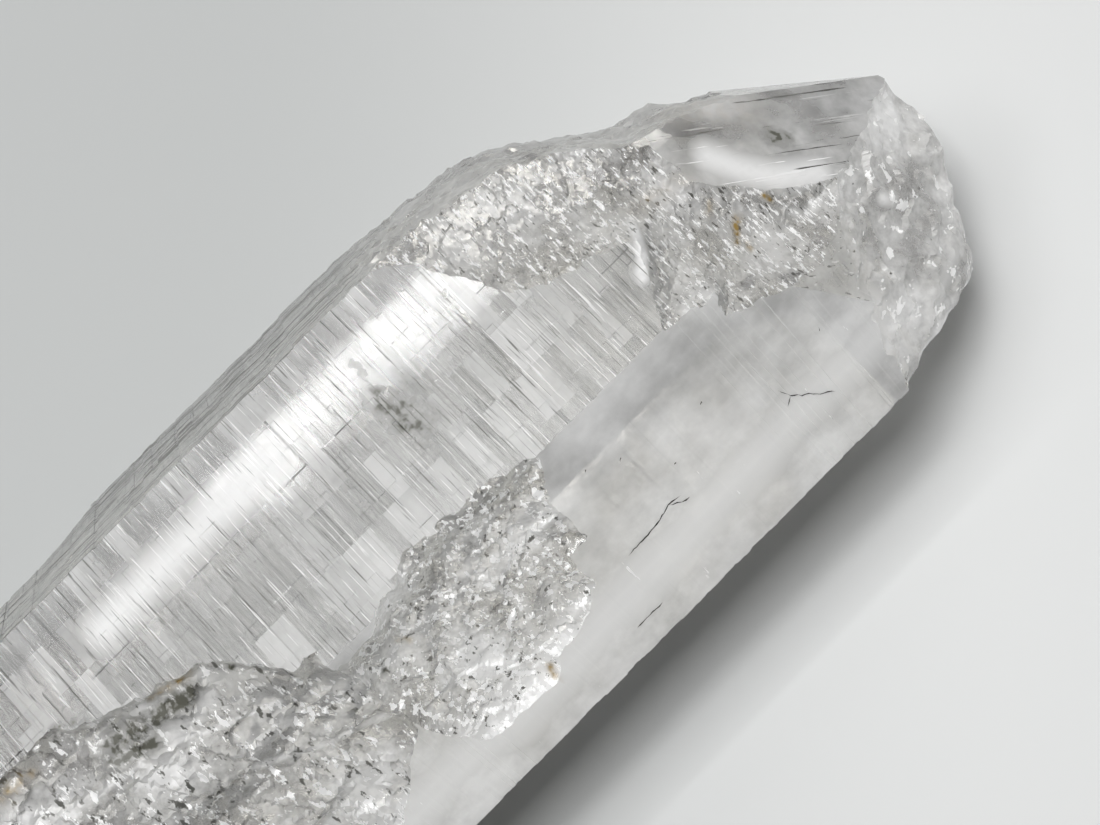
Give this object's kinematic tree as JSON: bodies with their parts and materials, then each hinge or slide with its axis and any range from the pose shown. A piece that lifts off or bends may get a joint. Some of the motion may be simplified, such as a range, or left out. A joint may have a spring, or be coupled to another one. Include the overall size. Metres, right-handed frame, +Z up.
{
  "type": "quartz crystal",
  "caption": "Clear hexagonal quartz crystal point with growth steps, a broken flank, a chipped edge and a rough broken base, lying on one flat face.",
  "frame": {"origin": "on the floor, under the middle of the bounding box", "axes": "+X along the crystal towards its point, +Z up from the prism face it lies on, -Y towards the chipped front edge"},
  "size_m": [0.148, 0.0458, 0.0398],
  "materials": {
    "quartz": "polished"
  },
  "bodies": {
    "root": {"crystal": "quartz"}
  },
  "joints": []
}
